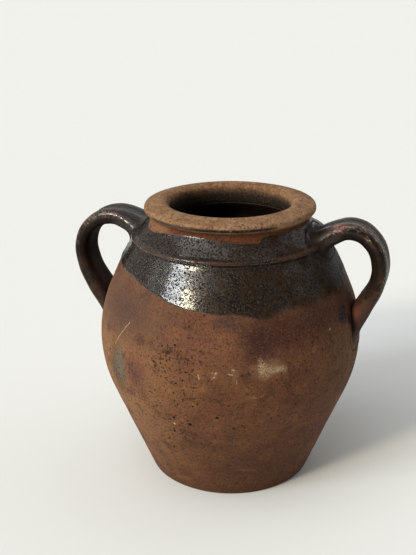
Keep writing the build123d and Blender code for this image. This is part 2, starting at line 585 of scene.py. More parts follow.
def blank_material(name: str) -> tuple[Material, Wiring, bpy.types.Node]:
    """Start a material.

    Args:
        name: its name.

    Returns:
        The material, the wiring of its tree and its surface shader.
    """
    material = bpy.data.materials.new(name)
    material.use_nodes = True
    material.node_tree.nodes.clear()
    wiring = Wiring(material.node_tree)
    shader = wiring.node("ShaderNodeBsdfPrincipled")
    wiring.node("ShaderNodeOutputMaterial", {"Surface": shader.outputs[0]})
    return material, wiring, shader


@dataclass(frozen=True)
class Mark:
    """A patch on the wall: azimuth, height, half its width and height in mm, tone, strength, edge, grain."""

    azimuth: float
    height: float
    wide: float
    tall: float
    tone: Colour
    strength: float = 0.6
    soft: float = 0.7
    grain: float = 0.0


@dataclass(frozen=True)
class Stroke:
    """A thin pale scratch: azimuth and height of both ends, half its width in mm and its strength."""

    from_azimuth: float
    from_height: float
    to_azimuth: float
    to_height: float
    wide: float
    strength: float = 0.8


@dataclass(frozen=True)
class Skin:
    """Sockets or constants of one finish: its colour, roughness and relief in metres."""

    colour: Value
    rough: Value
    relief: Value


def dress(wiring: Wiring, shader: bpy.types.Node, skin: Skin, shine: Value) -> None:
    """Link a skin to a surface shader.

    Args:
        wiring: the tree of both.
        shader: the surface shader.
        skin: colour, roughness and relief.
        shine: level of mirror reflection, 0.5 being that of glass.
    """
    bump = wiring.node("ShaderNodeBump", {"Strength": 1.0, "Distance": 1.0, "Height": skin.relief})
    wiring.feed(shader.inputs["Base Color"], skin.colour)
    wiring.feed(shader.inputs["Roughness"], skin.rough)
    wiring.feed(shader.inputs["Specular IOR Level"], shine)
    wiring.feed(shader.inputs["Normal"], bump.outputs[0])


def settle(piece: Piece, slot: str, *nodes: str) -> None:
    """Tie a piece to the body and hide the solids it stands for.

    Args:
        piece: the piece.
        slot: not used.
        *nodes: solids that it hides.
    """
    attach(piece, "root")
    if nodes:
        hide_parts(*nodes)
    log.info("%s: %d faces, for %s", piece.name, len(piece.data.polygons), ", ".join(nodes) or "no solid")


@dataclass
class ThrownWall:
    """The clay wall as one section: up the outside from foot to rim, down the inside to the floor."""

    foot: Corner = Corner(70.0, 0.0, 2.0, 5.0)
    belly: Corner = Corner(119.7, 123.65, 106.0)
    shoulder: Corner = Corner(90.6, 188.5, 40.0)
    shoulder_top: Corner = Corner(82.5, 202.0, 12.0, 1.6)
    cordon: tuple[Corner, ...] = (
        Corner(80.9, 205.4, 0.8, 1.2),
        Corner(79.1, 206.4, 0.4, 0.3),
        Corner(81.6, 207.1, 0.7, 0.3),
        Corner(81.2, 209.2, 0.9, 0.3),
    )
    neck_foot: Corner = Corner(77.0, 210.9, 3.0, 0.5)
    neck_hollow: Corner = Corner(69.8, 217.0, 26.0, 1.0)
    neck_top: Corner = Corner(64.4, 224.5, 3.0, 0.8)
    rim_low: Corner = Corner(70.6, 229.9, 2.0, 0.8)
    rim_high: Corner = Corner(70.6, 233.9, 2.6, 0.6)
    rim_crest: Corner = Corner(57.0, 237.3, 10.0, 0.9)
    mouth: Corner = Corner(50.4, 235.2, 5.2, 0.8)
    throat: Corner = Corner(50.4, 220.3, 6.0, 2.0)
    inner_shoulder: Corner = Corner(72.44, 203.0, 10.0, 3.0)
    inner_belly: Corner = Corner(109.3, 122.65, 97.5, 4.0)
    inner_foot: Corner = Corner(64.86, 10.0, 10.0, 4.0)
    floor: Corner = Corner(0.0, 10.0, 0.0, 6.0)
    wobble: float = 0.7
    ring_depth: float = 0.5
    ring_pitch: float = 9.0
    columns: int = 288

    def outside(self, with_cordon: bool = True) -> list[Corner]:
        """List the corners up the outside, from the middle of the foot to the rim's crest.

        Args:
            with_cordon: whether the line has the small cordon between shoulder and neck.

        Returns:
            The corners in order.
        """
        cordon = self.cordon if with_cordon else ()
        return [Corner(0, 0), self.foot, self.belly, self.shoulder, self.shoulder_top, *cordon,
                self.neck_foot, self.neck_hollow, self.neck_top, self.rim_low, self.rim_high, self.rim_crest]

    def inside(self) -> list[Corner]:
        """List the corners down the inside, from the mouth to the middle of the floor."""
        return [self.mouth, self.throat, self.inner_shoulder, self.inner_belly, self.inner_foot, self.floor]

    def section(self) -> np.ndarray:
        """Sample the whole section, up the outside and down the inside."""
        return rounded_line(self.outside() + self.inside())

    def outer_radius(self, heights: np.ndarray, with_cordon: bool = True) -> np.ndarray:
        """Read the radius of the outside below the rim.

        Args:
            heights: heights in mm.
            with_cordon: whether the line has the cordon.

        Returns:
            Radii in mm.
        """
        line = rounded_line(self.outside(with_cordon)[:-2])
        line = line[line[:, 0] > self.neck_top.out - 5]
        return np.interp(heights, line[:, 1], line[:, 0])

    def slope(self, heights: np.ndarray, with_cordon: bool = True) -> np.ndarray:
        """Read how fast the radius of the outside grows with the height.

        Args:
            heights: heights in mm.
            with_cordon: whether the line has the cordon.

        Returns:
            Growth for each mm of height, in mm.
        """
        above, below = (self.outer_radius(heights + step, with_cordon) for step in (SLOPE_STEP, -SLOPE_STEP))
        return (above - below) / (2 * SLOPE_STEP)

    def inner_line(self) -> np.ndarray:
        """Sample the inside from the throat down to the middle of the floor."""
        line = rounded_line(self.outside()[-2:] + self.inside())
        return line[np.argmin(np.abs(line[:, 0] - self.throat.out)):]

    def point(self, azimuth: float, height: float) -> Triple:
        """Find a place on the outside.

        Args:
            azimuth: angle in degrees.
            height: height in mm.

        Returns:
            The place in metres.
        """
        radius = float(self.outer_radius(np.array([height]))[0])
        turn = radians(azimuth)
        return (radius * cos(turn) * MM, radius * sin(turn) * MM, height * MM)

    def outward(self, azimuth: float, height: float) -> Triple:
        """Find the direction that the outside faces.

        Args:
            azimuth: angle in degrees.
            height: height in mm.

        Returns:
            A direction of length 1.
        """
        slope = float(self.slope(np.array([height]))[0])
        turn = radians(azimuth)
        return tuple(Vector((cos(turn), sin(turn), -slope)).normalized())

    def turn(self, name: str, section: np.ndarray, wheel: NodeTool, finish: Material,
             cover: np.ndarray | None = None) -> Piece:
        """Turn a section into a closed piece with this wall's wobble and rings.

        Args:
            name: name of the piece.
            section: rows of radius and height in mm, one set or one for each column.
            wheel: the tool that turns it.
            finish: its material.
            cover: how thick a glaze lies at each point, for pieces that fade out.

        Returns:
            The piece.
        """
        angles = np.linspace(-pi, pi, self.columns + 1)
        rows = section.shape[-2]
        lines = np.broadcast_to(section, (len(angles), rows, 2)) * MM
        points = np.concatenate((np.repeat(angles, rows).reshape(-1, rows, 1), lines), axis=2)
        closed = section.ndim == 3
        piece = mesh_object(name, points.reshape(-1, 3), sheet_faces(len(angles), rows, closed))
        if cover is not None:
            keep_numbers(piece, "glaze_cover", cover)
        return wheel.run(piece, self.wheel_settings(finish))

    def wheel_settings(self, finish: Material) -> dict[str, Value]:
        """Give the wheel's inputs, in metres.

        Args:
            finish: the material to dress the piece with.

        Returns:
            The value of each named input.
        """
        return {
            "Wobble": self.wobble * MM,
            "Ring depth": self.ring_depth * MM,
            "Ring pitch": self.ring_pitch * MM,
            "Finish": finish,
        }

    def build(self, wheel: NodeTool, finish: Material) -> Piece:
        """Build the wall and let it stand for its solid.

        Args:
            wheel: the tool that turns it.
            finish: its material.

        Returns:
            The piece.
        """
        piece = self.turn("thrown_wall", self.section(), wheel, finish)
        settle(piece, "fired_clay", "pot_body")
        return piece


@dataclass(frozen=True)
class ClayFinish:
    """Bare fired clay: mottled brown, gritty, a paler rim, fire marks, and some painted light and shade."""

    wall: ThrownWall
    brown: Colour = srgb(97, 63, 41)
    red: Colour = srgb(93, 57, 40)
    ochre: Colour = srgb(122, 82, 48)
    dark: Colour = srgb(66, 42, 28)
    grit: Colour = srgb(40, 26, 19)
    pale: Colour = srgb(150, 112, 76)
    rim: Colour = srgb(135, 104, 77)
    rim_shade: Colour = srgb(112, 80, 54)
    rim_light: Colour = srgb(158, 126, 95)
    neck: Colour = srgb(88, 49, 29)
    neck_tan: Colour = srgb(122, 88, 64)
    soot: Colour = srgb(40, 30, 23)
    throat: Colour = srgb(66, 52, 39)
    throat_shade: Colour = srgb(18, 14, 11)
    glaze_line: Colour = srgb(30, 24, 21)
    rim_stain: Colour = srgb(70, 54, 48)
    broad_marks_and_lit_flank: tuple[Mark, ...] = (
        # Painted light: the first broad mark lightens the left flank, the side that faces the lamps.
        Mark(-132, 105, 78, 120, srgb(136, 99, 69), 0.8, 0.95),
        Mark(-82, 150, 46, 26, srgb(103, 66, 49), 0.65, 0.92),
        Mark(-15, 112, 52, 62, srgb(92, 64, 41), 0.6, 0.9),
    )
    haze: Mark = Mark(-129, 164, 70, 35, srgb(72, 52, 45), 0.9, 0.92)
    marks: tuple[Mark, ...] = (
        Mark(-32, 163, 60, 22, srgb(62, 36, 25), 0.9, 0.9),
        Mark(-52, 158, 34, 19, srgb(66, 35, 26), 0.9, 0.9),
        Mark(-62.5, 155, 22, 24, srgb(54, 31, 26), 0.95, 0.95),
        Mark(-75, 168, 17, 8, srgb(60, 43, 38), 0.8, 0.9),
        # This mark and the one round the foot darken the clay towards the lower front and the foot.
        Mark(-68, 28, 74, 48, srgb(74, 46, 30), 0.7, 0.95),
        Mark(-80, 60.5, 42, 3.5, srgb(60, 38, 27), 0.5, 0.95),
        Mark(-15, 157, 11, 10, srgb(40, 31, 34), 1.0, 0.8),
        # Painted shadow: a near-black patch in the gap behind the right handle's tail.
        Mark(-9.5, 149.5, 3.6, 11, srgb(18, 12, 10), 1.0, 0.6),
        Mark(-58.5, 133.5, 15, 9, srgb(180, 156, 124), 0.7, 0.95, 0.7),
        Mark(-61.5, 136, 4.5, 10, srgb(186, 162, 130), 0.6, 0.85, 0.7),
        Mark(-54.5, 132, 9, 4, srgb(186, 162, 130), 0.55, 0.85, 0.7),
        Mark(-79.8, 130, 4, 6, srgb(150, 118, 88), 0.45, 0.9, 0.8),
        Mark(-71.6, 131, 4, 6, srgb(150, 118, 88), 0.45, 0.9, 0.8),
        Mark(-128.5, 112, 15, 30, srgb(64, 52, 43), 0.85, 0.85),
        Mark(-126.5, 118, 10, 20, srgb(94, 88, 74), 0.9, 0.75),
        Mark(-116, 117, 17, 24, srgb(88, 54, 48), 0.85, 0.92),
        Mark(-27, 143, 2.4, 9, srgb(48, 33, 23), 0.9, 0.7),
        Mark(-27, 141.5, 1.0, 2.6, srgb(186, 168, 138), 0.85, 0.6),
        Mark(-26.6, 151.4, 1.0, 1.4, srgb(186, 168, 138), 0.85, 0.6),
        Mark(-63.5, 111.2, 9, 0.7, srgb(140, 100, 66), 0.6, 0.9),
        Mark(-65, 30.7, 11, 0.8, srgb(140, 100, 66), 0.5, 0.9),
        Mark(-98.7, 79.9, 1.3, 1.6, srgb(200, 176, 140), 0.9, 0.6),
        # Darker towards the foot.
        Mark(-90, 3, 130, 9, srgb(72, 47, 31), 0.6, 0.95),
    )
    pits: tuple[Mark, ...] = (
        Mark(-98, 141, 30, 18, grit, 1.0, 0.9),
        Mark(-93, 112, 26, 22, grit, 0.8, 0.9),
        Mark(-100, 78, 30, 26, grit, 0.6, 0.9),
    )
    scratches: tuple[Stroke, ...] = (
        Stroke(-122, 156, -130, 134, 0.3, 0.95),
        Stroke(-137, 130, -135, 123, 0.26, 0.5),
        Stroke(-138.5, 128, -137, 119, 0.26, 0.5),
        Stroke(-86.1, 129.7, -85.6, 126.1, 0.36, 0.9),
        Stroke(-80.6, 131.8, -80.3, 133.6, 0.34, 0.4),
        Stroke(-79.4, 131.3, -78.9, 132.4, 0.6, 0.85),
        Stroke(-80.5, 127.6, -79.6, 128.8, 0.5, 0.7),
        Stroke(-74.5, 131.7, -72.5, 131.0, 0.36, 0.8),
        Stroke(-72.5, 135.2, -71.9, 134.8, 0.5, 0.9),
        Stroke(-70.8, 126.7, -70.9, 124.1, 0.4, 0.45),
    )
    scratch_tone: Colour = srgb(190, 168, 140)
    scratch_edge: Span = (0.2, 1.7)
    scratch_flat: float = 0.88
    scratch_wander: float = 1.4
    mark_wander: float = 10.0
    neck_height: Span = (208.5, 212.5)
    rim_height: Span = (226.2, 229.0)
    rim_roll: tuple[Span, Span] = ((228.7, 229.6), (230.8, 232.2))
    glaze_line_way: Triple = (0.276, -0.961, 0.0)
    rim_stain_way: Triple = (-0.438, -0.899, 0.0)
    throat_radius: Span = (50.8, 54.5)
    throat_height: Span = (225.5, 235.2)
    throat_depth: Span = (223.5, 233.5)
    shine: float = 0.18

    def scratch(self, wiring: Wiring, place: Value, line: Stroke) -> Socket:
        """Wire how much a scratch covers.

        Args:
            wiring: the tree it goes into.
            place: the place.
            line: the scratch.

        Returns:
            Cover from 0 to the scratch's strength.
        """
        first = Vector(self.wall.point(line.from_azimuth, line.from_height))
        run = Vector(self.wall.point(line.to_azimuth, line.to_height)) - first
        offset = wiring.vector("SUBTRACT", place, first)
        share = wiring.vector("DOT_PRODUCT", offset, run / run.length_squared)
        share = wiring.math("MINIMUM", wiring.most(share, 0.0), 1.0)
        away = wiring.vector("SUBTRACT", offset, wiring.vector("SCALE", tuple(run), share))
        middle = ((line.from_azimuth + line.to_azimuth) / 2, (line.from_height + line.to_height) / 2)
        outward = self.wall.outward(*middle)
        depth = wiring.times(wiring.vector("DOT_PRODUCT", away, outward), self.scratch_flat)
        away = wiring.vector("SUBTRACT", away, wiring.vector("SCALE", outward, depth))
        start, end = (line.wide * MM * share for share in self.scratch_edge)
        return wiring.ease(wiring.vector("LENGTH", away), start, end, line.strength, 0.0)

    def lay(self, wiring: Wiring) -> Skin:
        """Wire the clay's skin.

        Args:
            wiring: the tree it goes into.

        Returns:
            Its colour, roughness and relief.
        """
        place = wiring.place()
        wander = wiring.node("ShaderNodeTexNoise", {"Vector": place, "Scale": 140.0, "Detail": 4.0})
        wander = wiring.vector("SUBTRACT", wander.outputs["Color"], (0.5, 0.5, 0.5))
        bent = wiring.vector("ADD", place, wiring.vector("SCALE", wander, self.mark_wander * MM))
        wandering = wiring.vector("ADD", place, wiring.vector("SCALE", wander, self.scratch_wander * MM))
        fine = wiring.noise(place, 0.0015, 2.0, 0.6)
        gritty = wiring.noise(place, 0.0024, 3.0, 0.6)
        level = wiring.vector("MULTIPLY", place, (0.14, 0.14, 1.0))
        combed = wiring.noise(level, 0.004, 4.0, 0.65)
        grained = wiring.ease(fine, 0.44, 0.58)
        colour = self.mottle(wiring, place, bent, grained, combed)
        chalk = wiring.ease(fine, 0.38, 0.6, 0.3, 1.0)
        drawn = [wiring.times(self.scratch(wiring, wandering, line), chalk) for line in self.scratches]
        colour = wiring.paint(colour, *((cover, self.scratch_tone) for cover in drawn))
        colour = self.upper_zones(wiring, colour, place)
        plain = wiring.ease(self.patch(wiring, bent, grained, self.haze), 0.0, 0.7, 1.0, 0.25)
        pitted = wiring.plus(*(self.patch(wiring, bent, grained, mark) for mark in self.pits))
        worn = wiring.math("MULTIPLY_ADD", pitted, 0.07, gritty)
        pit = wiring.times(wiring.ease(worn, 0.63, 0.68), plain)
        colour = wiring.paint(
            colour,
            (wiring.times(wiring.ease(fine, 0.55, 0.7, 0.0, 0.75), plain), self.grit),
            (wiring.ease(fine, 0.34, 0.45, 0.15, 0.0), self.pale),
            (wiring.times(pit, 0.75), self.grit),
        )
        relief = wiring.weighted((combed, 0.0004), (fine, 0.0002), (pit, -0.0005))
        return Skin(colour, wiring.ease(gritty, 0.3, 0.7, 0.72, 0.9), relief)

    def mottle(self, wiring: Wiring, place: Value, bent: Value, grained: Value, combed: Value) -> Socket:
        """Wire the clay's mottled browns and its marks, painted light on the left flank among them.

        Args:
            wiring: the tree it goes into.
            place: the place.
            bent: the place, bent a little so that the marks' edges wander.
            grained: fine grain from 0 to 1.
            combed: noise drawn out round the pot.

        Returns:
            The colour.
        """
        broad = wiring.noise(place, 0.05, 2.0)
        patchy = wiring.noise(place, 0.015, 5.0, 0.68)
        under, over = ([(self.patch(wiring, bent, grained, mark), mark.tone) for mark in marks]
                       for marks in (self.broad_marks_and_lit_flank, (self.haze, *self.marks)))
        return wiring.paint(
            self.brown,
            (wiring.ease(broad, 0.36, 0.64), self.red),
            *under,
            (wiring.ease(patchy, 0.5, 0.68, 0.0, 0.7), self.dark),
            (wiring.ease(patchy, 0.34, 0.48, 0.5, 0.0), self.ochre),
            (wiring.ease(combed, 0.53, 0.74, 0.0, 0.4), self.dark),
            *over,
        )

    def patch(self, wiring: Wiring, place: Value, grained: Value, mark: Mark) -> Socket:
        """Wire how much a mark covers.

        Args:
            wiring: the tree it goes into.
            place: the place, bent a little so that edges wander.
            grained: fine grain from 0 to 1.
            mark: the mark.

        Returns:
            Cover from 0 to the mark's strength.
        """
        centre = self.wall.point(mark.azimuth, mark.height)
        offset = wiring.vector("SUBTRACT", place, centre)
        spread = wiring.vector("DIVIDE", offset, (mark.wide * MM, mark.wide * MM, mark.tall * MM))
        inside = wiring.ease(wiring.vector("LENGTH", spread), 1 - mark.soft, 1.15, mark.strength, 0.0)
        if not mark.grain:
            return inside
        return wiring.times(inside, wiring.ease(grained, 0.0, 1.0, 1 - mark.grain, 1.0))

    def upper_zones(self, wiring: Wiring, colour: Value, place: Value) -> Socket:
        """Wire the tones of neck, rim and throat over the clay's colour.

        Args:
            wiring: the tree it goes into.
            colour: the clay's colour so far.
            place: the place.

        Returns:
            The colour with its upper zones.
        """
        east, north, height = wiring.separate(place)
        radius = wiring.vector("LENGTH", wiring.combine(east, north, 0.0))
        up = wiring.times(height, 1 / MM)
        patches = wiring.noise(place, 0.016, 3.0, 0.6)
        neck_tone = wiring.paint(
            self.neck,
            (wiring.ease(patches, 0.45, 0.75), self.soot),
            (wiring.ease(east, -0.04, -0.024, 0.85, 0.0), self.neck_tan),
        )
        # Painted shade: behind darkens the back of the rim, on top of its mottling.
        behind = wiring.ease(north, 0.02, 0.055, 0.0, 0.4)
        mottled = wiring.noise(place, 0.0035, 3.0, 0.7)
        rim_tone = wiring.paint(
            self.rim,
            (wiring.plus(wiring.ease(patches, 0.45, 0.62, 0.0, 0.65), behind), self.rim_shade),
            (wiring.ease(mottled, 0.48, 0.62, 0.0, 0.5), self.brown),
            (wiring.ease(mottled, 0.36, 0.48, 0.45, 0.0), self.rim_light),
        )
        low = wiring.times(wiring.band(up, *self.rim_roll), wiring.ease(patches, 0.3, 0.42))
        line = wiring.ease(wiring.vector("DOT_PRODUCT", place, self.glaze_line_way), 0.055, 0.066)
        stain = wiring.ease(wiring.vector("DOT_PRODUCT", place, self.rim_stain_way), 0.065, 0.0685)
        inside = wiring.ease(wiring.times(radius, 1 / MM), *self.throat_radius, 1.0, 0.0)
        return wiring.paint(
            colour,
            (wiring.ease(up, *self.neck_height), neck_tone),
            (wiring.ease(up, *self.rim_height), rim_tone),
            (wiring.times(line, low), self.glaze_line),
            (wiring.times(stain, low), self.rim_stain),
            # Painted shade: the throat darkens step by step down into the pot, to near black.
            (wiring.times(inside, wiring.ease(up, *self.throat_height, 1.0, 0.0)), self.throat),
            (wiring.times(inside, wiring.ease(up, *self.throat_depth, 0.95, 0.0)), self.throat_shade),
        )

    def material(self) -> Material:
        """Make the clay's material."""
        material, wiring, shader = blank_material("fired_clay")
        dress(wiring, shader, self.lay(wiring), self.shine)
        return material


@dataclass(frozen=True)
class ShoulderFinish:
    """The near-black glaze on the shoulder: pebbled, breaking to brown, thinning out at its edge."""

    clay: ClayFinish
    deep: Colour = srgb(16, 12, 9)
    brown: Colour = srgb(52, 36, 24)
    edge: Colour = srgb(72, 44, 29)
    hole: Colour = srgb(12, 9, 7)
    glint: Colour = srgb(98, 84, 70)
    cordon_edge: tuple[Span, Span] = ((206.6, 207.4), (209.2, 210.2))
    shine: float = 0.75
    dull_shine: float = 0.075
    limb_shine: float = 0.02

    def material(self) -> Material:
        """Make the glaze's material; the attribute glaze_cover says how thick it lies."""
        material, wiring, shader = blank_material("dark_glaze")
        clay = self.clay.lay(wiring)
        place = wiring.place()
        east, _, height = wiring.separate(place)
        pebble = wiring.noise(place, 0.0018, 2.0, 0.55)
        patch = wiring.noise(place, 0.012, 4.0, 0.62)
        pinhole = wiring.ease(wiring.noise(place, 0.0014, 2.0, 0.6), 0.53, 0.6)
        uneven = [(wiring.math("SUBTRACT", noise, 0.5), 0.5) for noise in (patch, pebble)]
        thick = wiring.ease(wiring.weighted((wiring.number("glaze_cover"), 1.0), *uneven), 0.1, 0.85)
        right = wiring.ease(east, -0.04, 0.045)
        right_limb = wiring.ease(east, 0.06, 0.088, 0.0, 0.45)
        limb = wiring.plus(wiring.ease(east, -0.098, -0.074, 0.9, 0.0), right_limb)
        matt = wiring.most(wiring.times(right, wiring.ease(patch, 0.35, 0.65, 0.35, 1.0)), limb)
        # Painted glints: pale flecks that stand in for light sparkling on the pebbled glaze.
        glint = wiring.ease(wiring.noise(place, 0.0015, 1.0), 0.6, 0.68, 0.0, 0.38)
        cordon = wiring.band(wiring.times(height, 1 / MM), *self.cordon_edge)
        colour = wiring.paint(
            self.deep,
            (wiring.times(right, wiring.ease(patch, 0.4, 0.62, 0.05, 0.55)), self.brown),
            (wiring.ease(pebble, 0.5, 0.6, 0.0, 0.7), self.brown),
            (wiring.times(pinhole, 0.8), self.hole),
            (wiring.times(glint, wiring.ease(matt, 0.2, 0.9, 1.0, 0.5)), self.glint),
            (wiring.times(cordon, wiring.ease(patch, 0.34, 0.6), 0.6), self.edge),
            (wiring.ease(thick, 0.25, 0.9, 0.8, 0.0), self.edge),
        )
        rough = wiring.blend(pinhole, wiring.blend(matt, 0.11, 0.5), 0.5)
        rough = wiring.blend(limb, rough, 0.85)
        swell = wiring.ease(right, 0.0, 1.0, 0.0002, 0.00008)
        relief = wiring.weighted((patch, swell), (pebble, 0.00012), (pinhole, -0.00008))
        shine = wiring.blend(matt, self.shine, self.dull_shine)
        shine = wiring.blend(pinhole, shine, self.dull_shine)
        shine = wiring.blend(limb, shine, self.limb_shine)
        skin = Skin(wiring.mix(thick, clay.colour, colour), wiring.blend(thick, clay.rough, rough),
                    wiring.blend(thick, clay.relief, relief))
        dress(wiring, shader, skin, wiring.blend(thick, self.clay.shine, shine))
        return material


@dataclass(frozen=True)
class StrapReads:
    """What a handle's finish reads: the place, where that is on the strap, and noise."""

    place: Socket
    east: Socket
    height: Socket
    along: Socket
    out: Socket
    gap: Socket
    left: Socket
    ridge: Socket
    crown: Socket
    under: Socket
    streak: Socket
    grain: Socket
    patch: Socket


@dataclass(frozen=True)
class HandleFinish:
    """The handles' glaze: dark, breaking to red-brown and pale flecks on ridges, ending above bare clay."""

    deep: Colour = srgb(22, 15, 11)
    brown: Colour = srgb(46, 28, 20)
    red: Colour = srgb(84, 47, 34)
    rust: Colour = srgb(108, 68, 56)
    fleck: Colour = srgb(196, 182, 160)
    thin: Colour = srgb(66, 48, 42)
    bare: Colour = srgb(96, 57, 36)
    crevice: Colour = srgb(14, 9, 7)
    low: Colour = srgb(62, 41, 31)
    blush: Colour = srgb(108, 66, 60)
    blush_place: Triple = (94.0, -11.0, 223.5)
    blush_size: Triple = (8.0, 7.0, 6.0)
    left_end: float = 134.0
    right_end: float = 162.0
    end_wander: float = 20.0
    end_fade: float = 6.0
    shine: float = 0.42

    def read(self, wiring: Wiring) -> StrapReads:
        """Read the place, the numbers that the strap carries, and noise.

        Args:
            wiring: the tree it goes into.

        Returns:
            The sockets.
        """
        place = wiring.place()
        east, _, height = wiring.separate(place)
        names = ("along", "across", "out", "gap")
        along, across, out, gap = (wiring.number(f"strap_{name}") for name in names)
        run = wiring.combine(wiring.times(along, 6.0), wiring.times(across, 2.6), wiring.times(east, 9.0))
        crown = wiring.band(along, (0.1, 0.24), (0.5, 0.75))
        return StrapReads(
            place=place,
            east=east,
            height=height,
            along=along,
            out=out,
            gap=gap,
            left=wiring.ease(east, -0.02, 0.02, 1.0, 0.0),
            ridge=wiring.ease(wiring.math("ABSOLUTE", across), 0.45, 0.8),
            crown=crown,
            # Painted shade: under marks the underside of the crown, which the glaze paint darkens; the shine
            # drops there too.
            under=wiring.times(crown, wiring.ease(out, -0.25, 0.3, 0.75, 0.0)),
            streak=wiring.noise(run, 1.0, 4.0, 0.62),
            grain=wiring.noise(place, 0.0017, 2.0, 0.6),
            patch=wiring.noise(place, 0.011, 4.0, 0.62),
        )

    def glaze(self, wiring: Wiring, at: StrapReads) -> Socket:
        """Wire the colour of the glazed part.

        Args:
            wiring: the tree it goes into.
            at: what is read on the strap.

        Returns:
            The colour.
        """
        thinned = wiring.ease(at.patch, 0.4, 0.62, 0.0, 0.8)
        lower = wiring.times(
            wiring.ease(at.along, 0.5, 0.75),
            wiring.ease(at.patch, 0.42, 0.58, 0.2, 0.8),
            wiring.ease(at.out, -0.5, 0.2, 0.3, 1.0),
        )
        furrow = wiring.times(wiring.ease(at.ridge, 0.0, 0.7, 0.8, 0.0), wiring.ease(at.out, 0.4, 0.8))
        broken = wiring.times(
            wiring.ease(at.streak, 0.48, 0.64),
            wiring.ease(at.crown, 0.0, 1.0, 0.25, 1.0),
            wiring.ease(at.ridge, 0.0, 1.0, 0.45, 1.0),
            wiring.ease(at.out, 0.1, 0.7, 0.2, 1.0),
            wiring.ease(at.left, 0.0, 1.0, 0.85, 0.5),
        )
        offset = wiring.vector("SUBTRACT", wiring.vector("SCALE", at.place, 1 / MM), self.blush_place)
        away = wiring.vector("LENGTH", wiring.vector("DIVIDE", offset, self.blush_size))
        blushed = wiring.ease(away, 0.35, 1.15, 0.75, 0.0)
        worn = wiring.times(
            at.crown,
            at.ridge,
            wiring.ease(at.out, 0.0, 0.5),
            wiring.ease(at.streak, 0.46, 0.6),
            wiring.ease(at.left, 0.0, 1.0, 1.0, 0.3),
            wiring.ease(at.grain, 0.5, 0.6, 0.0, 0.75),
        )
        return wiring.paint(
            self.deep,
            (wiring.times(thinned, wiring.ease(at.left, 0.0, 1.0, 1.0, 0.5)), self.brown),
            (wiring.ease(at.out, -0.95, -0.75, 0.55, 0.0), self.brown),
            (lower, self.low),
            (furrow, self.deep),
            (broken, wiring.mix(at.left, self.rust, self.red)),
            # Painted shade under the crown, in the glaze's deepest tone.
            (at.under, self.deep),
            (wiring.times(blushed, wiring.ease(at.streak, 0.4, 0.55, 0.5, 1.0)), self.blush),
            (worn, self.fleck),
            (wiring.ease(at.grain, 0.36, 0.46, 0.5, 0.0), self.deep),
            (wiring.ease(at.along, 0.06, 0.16, 0.7, 0.0), self.deep),
        )

    def bare_end(self, wiring: Wiring, at: StrapReads, fade: Value, colour: Value) -> Socket:
        """Wire the bare lower end over the glaze, and the painted shade in the gap behind it.

        Args:
            wiring: the tree it goes into.
            at: what is read on the strap.
            fade: 0 where glaze lies, 1 where the clay is bare.
            colour: the glaze's colour.

        Returns:
            The colour.
        """
        tone = wiring.paint(
            self.thin,
            (wiring.ease(at.out, -0.3, 0.25, 1.0, 0.0), self.bare),
            (wiring.ease(at.patch, 0.5, 0.7, 0.0, 0.6), self.brown),
        )
        # Painted shade: close is near black in the narrow gap between the tail's inner face and the wall.
        close = wiring.times(
            wiring.ease(at.along, 0.6, 0.75),
            wiring.ease(at.out, 0.3, 0.8, 1.0, 0.0),
            wiring.ease(at.gap, 1.2, 5.5, 1.0, 0.0),
        )
        return wiring.paint(colour, (wiring.times(fade, 0.9), tone), (close, self.crevice))

    def material(self) -> Material:
        """Make the handles' material from the numbers that the strap carries."""
        material, wiring, shader = blank_material("handle_glaze")
        at = self.read(wiring)
        end = wiring.ease(at.east, -0.02, 0.02, self.left_end * MM, self.right_end * MM)
        end = wiring.math("MULTIPLY_ADD", wiring.math("SUBTRACT", at.patch, 0.5), self.end_wander * MM, end)
        above = wiring.math("SUBTRACT", at.height, end)
        fade = wiring.ease(above, -self.end_fade * MM, self.end_fade * MM, 1.0, 0.0)
        colour = self.bare_end(wiring, at, fade, self.glaze(wiring, at))
        root = wiring.ease(at.along, 0.03, 0.09, 1.0, 0.0)
        root = wiring.times(root, wiring.ease(at.left, 0.0, 1.0, 0.8, 0.0))
        dull = wiring.most(fade, wiring.ease(at.out, -0.8, -0.35, 1.0, 0.0), root)
        pit = wiring.ease(at.grain, 0.53, 0.62)
        rough = wiring.blend(pit, wiring.ease(at.patch, 0.35, 0.7, 0.12, 0.27), 0.5)
        rough = wiring.blend(dull, rough, 0.7)
        relief = wiring.weighted((at.patch, 5e-4), (at.grain, 1e-4), (at.streak, 8e-4), (pit, -8e-5))
        shine = wiring.blend(at.left, self.shine * 0.75, self.shine)
        shine = wiring.times(wiring.ease(at.along, 0.3, 0.5, 1.0, 0.4), shine)
        shine = wiring.blend(dull, shine, self.shine * 0.3)
        shine = wiring.times(shine, wiring.ease(at.under, 0.0, 0.75, 1.0, 0.25))
        dress(wiring, shader, Skin(colour, rough, relief), shine)
        return material


@dataclass(frozen=True)
class PlainFinish:
    """A finish of one tone with a soft grain."""

    name: str
    tone: Colour
    shade: Colour
    rough: float
    grain: float = 0.004
    relief: float = 0.0004
    shine: float = 0.4

    def material(self) -> Material:
        """Make the finish's material."""
        material, wiring, shader = blank_material(self.name)
        patch = wiring.noise(wiring.place(), self.grain, 3.0, 0.6)
        colour = wiring.mix(wiring.ease(patch, 0.4, 0.65), self.tone, self.shade)
        dress(wiring, shader, Skin(colour, self.rough, wiring.times(patch, self.relief)), self.shine)
        return material


